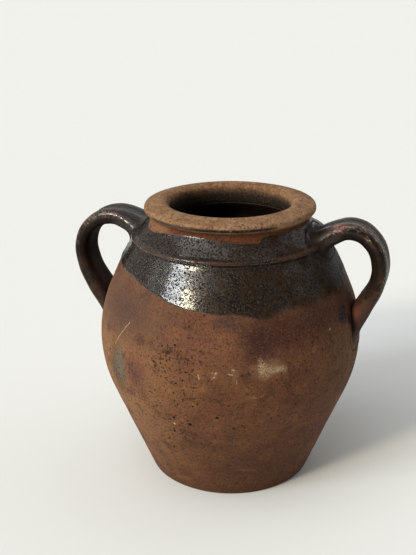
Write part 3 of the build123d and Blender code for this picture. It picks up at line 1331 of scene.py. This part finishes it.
@dataclass
class ShoulderCoat:
    """The glaze coat on the shoulder, from its dipped lower edge to the line under the rim."""

    wall: ThrownWall
    thickness: float = 0.5
    sunk: float = 0.35
    tuck: float = 0.1
    bead: float = 0.15
    bead_wide: float = 1.3
    lower_roll: float = 1.6
    upper_roll: float = 1.2
    upper_fade: float = 1.8
    sharp_fade: float = 2.0
    fade_drop: float = 0.35
    thin_share: float = 0.8
    rows: int = 150
    inner_rows: int = 14
    lower_edge: Table = (
        (-158, 188), (-131, 187.5), (-116, 182.6), (-105, 179), (-94, 175.6), (-85, 173.8), (-73.5, 172.4),
        (-66, 171.2), (-61, 169), (-56, 168.8), (-49, 169), (-35, 169), (-12, 169), (10, 170), (40, 172),
        (75, 176), (110, 181.5), (145, 187), (180, 189),
    )
    upper_edge: Table = (
        (-165, 224), (-153, 223.6), (-146, 220), (-136, 219.2), (-125, 221.5), (-110, 223.4), (-98, 224),
        (-85, 223), (-73, 221.3), (-60, 220.4), (-54, 220.4), (-51.5, 224.3), (-20, 224.3), (30, 224.2),
        (80, 222.6), (130, 223.8), (165, 222.5), (180, 223),
    )
    fade: Table = (
        (-170, 1.6), (-95, 1.2), (-84, 4.5), (-70, 7), (-61, 7), (-57, 14), (-45, 26), (-15, 30), (30, 18),
        (90, 7), (150, 3),
    )
    lower_waves: Table = ((9, 0.3), (17, 0.25), (31, 0.16), (53, 0.12))
    upper_waves: Table = ((11, 0.15), (23, 0.12), (47, 0.1))

    def build(self, wheel: NodeTool, finish: Material) -> Piece:
        """Build the coat as a thin closed shell on the wall.

        Args:
            wheel: the tool that turns it.
            finish: its material.

        Returns:
            The piece.
        """
        angles = np.degrees(np.linspace(-pi, pi, self.wall.columns + 1))[:, None]
        fade = around(angles, self.fade)
        low = around(angles, self.lower_edge) + ripple(angles, self.lower_waves, SEED)
        low -= fade * self.fade_drop
        high = around(angles, self.upper_edge) + ripple(angles, self.upper_waves, SEED + 1)
        heights = low + (high - low) * np.linspace(0, 1, self.rows)
        inner_heights = low + (high - low) * np.linspace(1, 0, self.inner_rows)
        from_low = heights - low
        from_high = high - heights
        cover = ease(from_low, 0.0, fade) * ease(from_high, 0.0, self.upper_fade)
        rounded = np.sqrt(np.clip(from_low / self.lower_roll, 0, 1))
        rounded *= np.sqrt(np.clip(from_high / self.upper_roll, 0, 1))
        sharp = fade < self.sharp_fade
        lip = self.bead * np.exp(-((from_low - self.lower_roll) / self.bead_wide) ** 2) * sharp
        spread = np.where(sharp, rounded, ease(from_low, 0, fade * self.thin_share) * rounded)
        proud = self.thickness * spread + lip * rounded
        proud[:, [0, -1]] = -self.tuck
        all_heights = np.concatenate((heights, inner_heights), axis=1)
        offsets = np.concatenate((proud, np.full_like(inner_heights, -self.sunk)), axis=1)
        section = np.stack((self.wall.outer_radius(all_heights) + offsets, all_heights), axis=2)
        covers = np.concatenate((cover, np.ones_like(inner_heights)), axis=1)
        piece = self.wall.turn("shoulder_coat", section, wheel, finish, covers)
        settle(piece, "dark_glaze", "shoulder_glaze")
        return piece


@dataclass
class InnerLining:
    """The dark lining of the inside, from the throat down over the floor."""

    wall: ThrownWall
    thickness: float = 0.5
    sunk: float = 0.3
    top: float = 219.6

    def build(self, wheel: NodeTool, finish: Material) -> Piece:
        """Build the lining as a thin closed shell.

        Args:
            wheel: the tool that turns it.
            finish: its material.

        Returns:
            The piece.
        """
        line = self.wall.inner_line()
        line = line[line[:, 1] < self.top]
        way = np.gradient(line, axis=0)
        way /= np.linalg.norm(way, axis=1)[:, None]
        inward = np.stack((way[:, 1], -way[:, 0]), axis=1)
        face = line + inward * self.thickness
        back = line - inward * self.sunk
        face[-1, 0] = 0
        back[-1, 0] = 0
        piece = self.wall.turn("inner_lining", np.concatenate((back[::-1], face)), wheel, finish)
        settle(piece, "inner_glaze", "inner_glaze")
        return piece


class Side(Enum):
    """The side of the pot that a handle is on, as its sign along X."""

    LEFT = -1
    RIGHT = 1


@dataclass
class StrapHandle:
    """A pulled strap with two ridges, pressed on the wall at both ends and smeared into it."""

    side: Side
    wall: ThrownWall
    path: Table
    widths: Table = ((0, 58), (0.1, 47), (0.18, 37), (0.28, 31), (0.4, 29), (0.72, 29), (0.86, 32), (1, 38))
    thicknesses: Table = (
        (0, 31), (0.1, 25), (0.18, 18), (0.28, 14.4), (0.4, 13.2), (0.62, 13.4), (0.76, 15), (0.88, 17),
        (1, 18.5),
    )
    squareness: float = 0.6
    root_rounding: Span = (0.08, 0.32)
    tail_rounding: Span = (0.8, 1.0)
    groove: float = 2.0
    groove_wide: float = 0.3
    inner_groove: float = 0.4
    root_fillet: float = 7.0
    top_fillet: float = 6.0
    tail_fillet: float = 11.0
    tail_crevice: float = 0.6
    root_turn: Span = (-0.2, 0.8)
    tail_turn: Span = (0.1, 0.95)
    fillet_rows: int = 9
    sunk: float = 0.3
    plug: float = 3.0
    neck_limit: float = 224.0
    path_steps: int = 24
    rows: int = 150
    around: int = 80

    def straight(self) -> tuple[np.ndarray, np.ndarray, np.ndarray]:
        """Lay out the straight strap.

        Returns:
            Its points as share, across and up in metres, and the across and up shares round its section.
        """
        share = np.linspace(0, 1, self.rows)
        turn = np.linspace(0, 2 * pi, self.around, endpoint=False)
        round_end = np.maximum(1 - ease(share, *self.root_rounding), ease(share, *self.tail_rounding))
        power = (self.squareness + (1 - self.squareness) * round_end)[:, None]
        across = np.sign(np.cos(turn)) * np.abs(np.cos(turn)) ** power
        up = np.sign(np.sin(turn)) * np.abs(np.sin(turn)) ** power
        width = smooth_read(share, self.widths)[:, None]
        thick = smooth_read(share, self.thicknesses)[:, None]
        dent = np.exp(-(across / self.groove_wide) ** 2) * np.abs(up)
        rise = up * thick / 2 - np.where(up > 0, self.groove, -self.inner_groove) * dent
        shares = np.repeat(share[:, None], self.around, axis=1)
        grid = np.stack((shares, across * width / 2 * MM, rise * MM), axis=2)
        middle = self.rows // 2
        return grid, across[middle], up[middle]

    def path_object(self) -> Piece:
        """Draw the strap's path as a curve object."""
        curve = bpy.data.curves.new("strap_path", "CURVE")
        curve.dimensions = "3D"
        curve.resolution_u = self.path_steps
        spline = curve.splines.new("BEZIER")
        spline.bezier_points.add(len(self.path) - 1)
        for knot, (out, up) in zip(spline.bezier_points, self.path):
            knot.co = (self.side.value * out * MM, 0, up * MM)
            knot.handle_left_type = "AUTO"
            knot.handle_right_type = "AUTO"
        path = bpy.data.objects.new("strap_path", curve)
        bpy.context.scene.collection.objects.link(path)
        return path

    def bend(self, bender: NodeTool, finish: Material) -> tuple[np.ndarray, np.ndarray, np.ndarray]:
        """Bend the strap along its path.

        Args:
            bender: the tool that bends it.
            finish: its material.

        Returns:
            The bent strap's points in mm, row by row, and the across and up shares round its section.
        """
        grid, across, up = self.straight()
        path = self.path_object()
        blank = mesh_object("strap_blank", grid.reshape(-1, 3), sheet_faces(self.rows, self.around, True))
        bender.run(blank, {"Path": path, "Hand": float(self.side.value), "Finish": finish})
        points = np.empty(self.rows * self.around * 3)
        blank.data.vertices.foreach_get("co", points)
        bpy.data.objects.remove(blank)
        bpy.data.objects.remove(path)
        return points.reshape(self.rows, self.around, 3) / MM, across, up

    def gap(self, points: np.ndarray) -> np.ndarray:
        """Measure how far points are outside the wall, along the radius in mm."""
        return np.hypot(points[..., 0], points[..., 1]) - self.wall.outer_radius(points[..., 2], False)

    def fillet(self, start: np.ndarray, foot: np.ndarray, reach: np.ndarray) -> np.ndarray:
        """Smear one end of the strap onto the wall.

        Args:
            start: where each line of the strap leaves its straight run.
            foot: where each line meets the wall.
            reach: how far each line's smear goes on along the wall.

        Returns:
            Rows of points from the wall up to the strap, the first row inside the clay.
        """
        run = np.roll(foot, -1, axis=0) - np.roll(foot, 1, axis=0)
        slope = self.wall.slope(foot[:, 2], False)
        normal = np.column_stack((foot[:, :2] / np.hypot(foot[:, 0], foot[:, 1])[:, None], -slope))
        away = np.cross(normal, run)
        away /= np.linalg.norm(away, axis=1)[:, None]
        away *= np.sign(np.sum(away * (foot - foot.mean(axis=0)), axis=1))[:, None]
        edge = foot + away * reach[:, None]
        edge[:, 2] = np.minimum(edge[:, 2], self.neck_limit)
        target = self.wall.outer_radius(edge[:, 2], False) - self.sunk
        edge[:, :2] *= (target / np.hypot(edge[:, 0], edge[:, 1]))[:, None]
        hidden = edge.copy()
        hidden[:, :2] *= ((target - self.plug) / target)[:, None]
        shares = np.linspace(1, 0, self.fillet_rows, endpoint=False)[:, None, None]
        smear = (1 - shares) ** 2 * start + 2 * shares * (1 - shares) * foot + shares ** 2 * edge
        return np.concatenate((hidden[None], smear))

    def seat(self, strap: np.ndarray, up: np.ndarray) -> np.ndarray:
        """Cut the strap to the wall and smear both ends onto it.

        Args:
            strap: the bent strap's points in mm, row by row.
            up: from -1 on the inner face to 1 on the outer face, round the section.

        Returns:
            The seated strap's points in mm, row by row.
        """
        gaps = self.gap(strap)
        root_reach = self.root_fillet + (self.top_fillet - self.root_fillet) * ease(up, *self.root_turn)
        tail_reach = self.tail_crevice + (self.tail_fillet - self.tail_crevice) * ease(up, *self.tail_turn)
        middle = self.rows // 2
        main = np.empty_like(strap)
        feet = np.empty((2, self.around, 3))
        for line in range(self.around):
            points = strap[:, line]
            inside = gaps[:, line] < 0
            length = np.concatenate(([0], np.cumsum(np.linalg.norm(np.diff(points, axis=0), axis=1))))
            first = int(np.flatnonzero(inside[:middle])[-1])
            last = middle + int(np.flatnonzero(inside[middle:])[0])
            ends = []
            for near, far in ((first, first + 1), (last, last - 1)):
                share = gaps[near, line] / (gaps[near, line] - gaps[far, line])
                ends.append(length[near] + share * (length[far] - length[near]))
            stops = np.linspace(ends[0] + root_reach[line], ends[1] - tail_reach[line], self.rows)
            for axis in range(3):
                main[:, line, axis] = np.interp(stops, length, points[:, axis])
                feet[:, line, axis] = np.interp(ends, length, points[:, axis])
        top = self.fillet(main[0], feet[0], root_reach)
        bottom = self.fillet(main[-1], feet[1], tail_reach)
        return np.concatenate((top, main, bottom[::-1]))

    def build(self, bender: NodeTool, finish: Material) -> tuple[np.ndarray, np.ndarray]:
        """Build the handle as one closed piece.

        Args:
            bender: the tool that bends the strap.
            finish: its material.

        Returns:
            For its root and its tail, a row of points inside the wall and a row on it, in mm.
        """
        strap, across, up = self.bend(bender, finish)
        rows = self.seat(strap, up)
        count = len(rows)
        caps = rows[[0, -1]].mean(axis=1)
        points = np.concatenate((rows.reshape(-1, 3), caps)) * MM
        faces = sheet_faces(count, self.around, True)
        final = (count - 1) * self.around
        for step in range(self.around):
            follow = (step + 1) % self.around
            faces.append([step, follow, count * self.around])
            faces.append([final + follow, final + step, count * self.around + 1])
        if self.side is Side.LEFT:
            faces = [face[::-1] for face in faces]
        side = self.side.name.lower()
        piece = mesh_object(f"{side}_strap", points, faces, finish)
        along = np.repeat(np.linspace(0, 1, count), self.around)
        keep_numbers(piece, "strap_along", np.append(along, (0, 1)))
        numbers = {"across": np.tile(across, count), "out": np.tile(up, count), "gap": self.gap(rows)}
        for label, values in numbers.items():
            keep_numbers(piece, f"strap_{label}", np.append(values, (0, 0)))
        settle(piece, "handle_glaze", f"{side}_handle")
        return rows[:2], rows[:-3:-1]


@dataclass
class LutingSmear:
    """The slip that lutes handle ends to the wall, wiped into a low bead around each."""

    name: str
    node: str
    wide: float
    tall: float
    around: int = 12

    def bead(self, end: np.ndarray) -> np.ndarray:
        """Lay a bead around one end.

        Args:
            end: a row of points inside the wall and a row on it, in mm.

        Returns:
            Rings of points in mm, one for each point of the end.
        """
        inner, edge = end
        outward = (edge - inner) / np.linalg.norm(edge - inner, axis=1)[:, None]
        away = np.cross(outward, np.roll(edge, -1, axis=0) - np.roll(edge, 1, axis=0))
        away /= np.linalg.norm(away, axis=1)[:, None]
        turn = np.linspace(0, 2 * pi, self.around, endpoint=False)[None, :, None]
        sideways = away[:, None] * np.cos(turn) * self.wide
        return edge[:, None] + sideways + outward[:, None] * np.sin(turn) * self.tall

    def build(self, ends: Sequence[np.ndarray], finish: Material) -> Piece:
        """Build the beads of all ends as one piece.

        Args:
            ends: the ends, as the handles give them.
            finish: the slip's material.

        Returns:
            The piece.
        """
        beads = np.array([self.bead(end) for end in ends])
        count, rings = beads.shape[:2]
        ring = np.array(sheet_faces(rings, self.around, True, looped=True))[:, [0, 3, 2, 1]]
        faces = [face for bead in range(count) for face in (ring + bead * rings * self.around).tolist()]
        piece = mesh_object(self.name, beads.reshape(-1, 3) * MM, faces, finish)
        settle(piece, "luting_slip", self.node)
        return piece


@dataclass
class IronSpecks:
    """Specks of iron and grit on the bare clay; each one seen has its azimuth, height and size in mm."""

    wall: ThrownWall
    low: float = 6.0
    high: float = 164.0
    density: float = 5200.0
    least: float = 0.18
    greatest: float = 0.5
    seen: tuple[Triple, ...] = (
        (-98.2, 87.1, 1.2), (-91.1, 82.8, 1.6), (-78.9, 92.8, 1.5), (-88.7, 101.7, 0.9), (-95.3, 101.2, 0.9),
        (-71.8, 81.9, 1.2), (-68.4, 84.8, 0.9), (-104.7, 60.1, 1.1), (-103.5, 50.4, 1.0), (-86.2, 58.3, 1.0),
        (-100.1, 71.0, 1.0), (-105.6, 134.1, 1.1), (-102.2, 134.0, 1.0), (-102.3, 147.2, 1.0),
        (-96.4, 150.0, 1.1), (-91.1, 130.7, 1.0), (-92.4, 123.7, 0.9), (-95.4, 120.2, 1.0),
        (-96.6, 111.7, 0.9), (-64.7, 146.9, 0.8),
    )

    def build(self, tool: NodeTool, wall_piece: Piece, finish: Material) -> Piece:
        """Build all specks as one piece.

        Args:
            tool: the tool that sets them.
            wall_piece: the finished wall.
            finish: their material.

        Returns:
            The piece.
        """
        places = np.array([self.wall.point(azimuth, height) for azimuth, height, _ in self.seen])
        piece = mesh_object("iron_specks", places, [])
        keep_numbers(piece, "size", np.array([size for _, _, size in self.seen]) * MM)
        settings = {
            "Wall": wall_piece,
            "Low": self.low * MM,
            "High": self.high * MM,
            "Density": self.density,
            "Least": self.least * MM,
            "Greatest": self.greatest * MM,
            "Seed": SEED,
            "Finish": finish,
        }
        tool.run(piece, settings)
        settle(piece, "fired_clay")
        return piece


@dataclass(frozen=True)
class Lamp:
    """A soft far light: where it stands, its power, its width in the sky in degrees, and its colour."""

    name: str
    azimuth: float
    rise: float
    power: float
    spread: float
    tone: Triple


@dataclass
class Studio:
    """A pale floor, soft light from the left front, and the camera at the photograph's angle."""

    floor_size: float = 12.0
    floor_tone: Colour = srgb(223, 226, 226)
    lamps: tuple[Lamp, ...] = (
        Lamp("window", -131.0, 28.0, 1.6, 22.0, (0.92, 0.965, 1.0)),
        Lamp("wide_window", -140.0, 34.0, 0.5, 60.0, (0.95, 0.98, 1.0)),
        Lamp("warm_lamp", -117.5, 26.0, 1.65, 9.0, (1.0, 0.86, 0.6)),
    )
    ceiling_azimuth: float = -122.0
    ceiling_rise: float = 63.0
    ceiling_edge: Span = (0.84, 0.97)
    ceiling_glow: float = 1.6
    back_azimuth: float = 60.0
    back_rise: float = 36.0
    back_edge: Span = (0.2, 0.9)
    back_glow: float = 0.42
    front_rise: float = 45.0
    front_edge: Span = (0.3, 0.9)
    front_dim: float = 0.17
    sky_glow: float = 0.35
    sky_tone: Colour = (1.0, 0.985, 0.955, 1.0)
    eye: Triple = (0.19876, -0.67102, 0.42743)
    eye_azimuth: float = 16.5
    eye_dip: float = 20.356
    eye_turn: float = 1.432
    lens: float = 57.09
    sensor: float = 36.0

    def towards(self, azimuth: float, rise: float) -> Vector:
        """Point from the pot to a place in the sky."""
        level = cos(radians(rise))
        return Vector((level * cos(radians(azimuth)), level * sin(radians(azimuth)), sin(radians(rise))))

    def light(self, lamp: Lamp) -> None:
        """Add a soft far light.

        Args:
            lamp: what it is like.
        """
        light = bpy.data.lights.new(lamp.name, "SUN")
        light.energy = lamp.power
        light.angle = radians(lamp.spread)
        light.color = lamp.tone
        stand = bpy.data.objects.new(lamp.name, light)
        stand.rotation_euler = (-self.towards(lamp.azimuth, lamp.rise)).to_track_quat("-Z", "Y").to_euler()
        bpy.context.scene.collection.objects.link(stand)

    def sky(self) -> None:
        """Make the world dim behind the viewer, bright on the ceiling and softly lit behind the pot."""
        world = bpy.data.worlds.new("studio")
        world.use_nodes = True
        world.node_tree.nodes.clear()
        wiring = Wiring(world.node_tree)
        way = wiring.node("ShaderNodeTexCoord").outputs["Generated"]
        ceiling = wiring.vector("DOT_PRODUCT", way, self.towards(self.ceiling_azimuth, self.ceiling_rise))
        back = wiring.vector("DOT_PRODUCT", way, self.towards(self.back_azimuth, self.back_rise))
        front = wiring.vector("DOT_PRODUCT", way, self.towards(self.eye_azimuth - 90, self.front_rise))
        strength = wiring.plus(
            wiring.ease(front, *self.front_edge, self.sky_glow, self.sky_glow * self.front_dim),
            wiring.ease(ceiling, *self.ceiling_edge, 0.0, self.ceiling_glow),
            wiring.ease(back, *self.back_edge, 0.0, self.back_glow),
        )
        light = wiring.node("ShaderNodeBackground", {"Color": self.sky_tone, "Strength": strength})
        wiring.node("ShaderNodeOutputWorld", {"Surface": light.outputs[0]})
        bpy.context.scene.world = world

    def floor(self) -> None:
        """Lay the pale floor."""
        half = self.floor_size
        corners = ((-half, -half, 0.0), (half, -half, 0.0), (half, half, 0.0), (-half, half, 0.0))
        floor = mesh_object("studio_floor", np.array(corners), [(0, 1, 2, 3)])
        material, wiring, shader = blank_material("pale_floor")
        wiring.feed(shader.inputs["Base Color"], self.floor_tone)
        wiring.feed(shader.inputs["Roughness"], 1.0)
        wiring.feed(shader.inputs["Specular IOR Level"], 0.0)
        floor.data.materials.append(material)

    def camera(self) -> None:
        """Set the camera."""
        lens = bpy.data.cameras.new("eye")
        lens.lens = self.lens
        lens.sensor_width = self.sensor
        eye = bpy.data.objects.new("eye", lens)
        turn = Matrix.Rotation(radians(self.eye_azimuth), 4, "Z")
        dip = Matrix.Rotation(radians(90 - self.eye_dip), 4, "X")
        swing = Matrix.Rotation(radians(self.eye_turn), 4, "Y")
        eye.matrix_world = Matrix.Translation(self.eye) @ turn @ dip @ swing
        bpy.context.scene.collection.objects.link(eye)
        bpy.context.scene.camera = eye

    def build(self) -> None:
        """Set up floor, light, sky and camera."""
        self.floor()
        for lamp in self.lamps:
            self.light(lamp)
        self.sky()
        self.camera()
        bpy.context.scene.view_settings.view_transform = "Standard"


def main() -> None:
    """Build the pot piece by piece, then the studio."""
    logging.basicConfig(level=logging.INFO, format="%(name)s %(message)s")
    wheel = wheel_tool()
    bender = bend_tool()
    wall = ThrownWall()
    clay = ClayFinish(wall)
    handle_glaze = HandleFinish().material()
    wall_piece = wall.build(wheel, clay.material())
    ShoulderCoat(wall).build(wheel, ShoulderFinish(clay).material())
    lining = PlainFinish("inner_glaze", srgb(44, 34, 27), srgb(30, 23, 18), 0.6, shine=0.15)
    InnerLining(wall).build(wheel, lining.material())
    paths = {
        Side.LEFT: ((60, 190), (73, 203), (88, 213), (105, 215.8), (121.5, 208), (131, 192), (130, 172),
                    (121.5, 153.5), (111.5, 139), (101, 121)),
        Side.RIGHT: ((60, 191), (73, 204.5), (88, 215.7), (103, 219.7), (117.3, 212), (125, 195.5),
                     (123.6, 176.5), (115.2, 158.5), (107.5, 143.5), (98, 124)),
    }
    handles = [StrapHandle(side, wall, path).build(bender, handle_glaze) for side, path in paths.items()]
    roots, tails = zip(*handles)
    glazed_slip = PlainFinish("glazed_slip", srgb(26, 19, 15), srgb(44, 30, 22), 0.6, shine=0.12)
    bare_slip = PlainFinish("luting_slip", srgb(84, 50, 33), srgb(48, 30, 21), 0.8, shine=0.15)
    LutingSmear("upper_smear", "upper_slip_joints", 1.8, 0.7).build(roots, glazed_slip.material())
    LutingSmear("lower_smear", "lower_slip_joints", 0.9, 0.5).build(tails, bare_slip.material())
    specks = PlainFinish("iron_specks", srgb(36, 25, 18), srgb(22, 15, 12), 0.8, shine=0.1)
    IronSpecks(wall).build(speck_tool(), wall_piece, specks.material())
    Studio().build()


if __name__ == "__main__":
    main()
